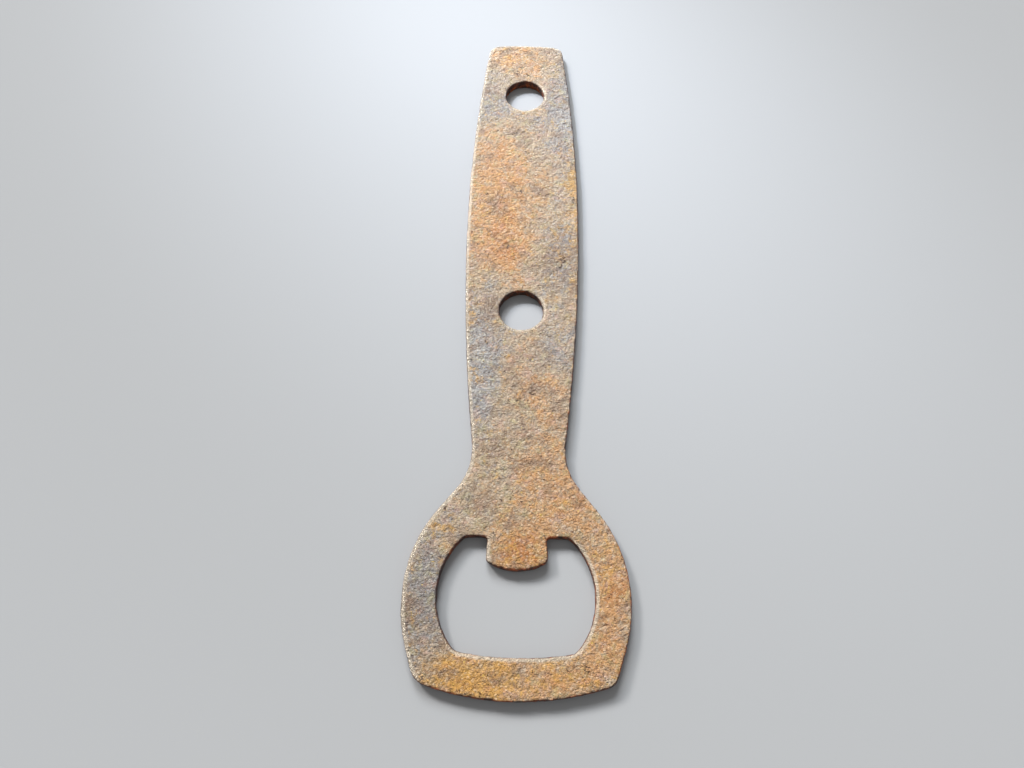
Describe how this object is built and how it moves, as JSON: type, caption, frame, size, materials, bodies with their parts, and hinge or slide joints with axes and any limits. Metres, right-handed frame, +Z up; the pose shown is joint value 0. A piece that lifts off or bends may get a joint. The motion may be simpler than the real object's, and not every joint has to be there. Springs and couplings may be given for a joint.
{
  "type": "bottle opener",
  "caption": "Flat steel bottle opener with a wide head, a tongued cap opening, and a barrel-shaped tang with round rivet holes, rusted all over.",
  "frame": {"origin": "middle of the plate's footprint, on its underside", "axes": "+Y along the plate from the head to the tang's end, +Z up out of the top face, +X across the head"},
  "size_m": [0.0448, 0.1686, 0.0025],
  "materials": {
    "rusted_steel": "rusted and pitted, matt"
  },
  "bodies": {
    "root": {"opener_plate": "rusted_steel"}
  },
  "joints": []
}
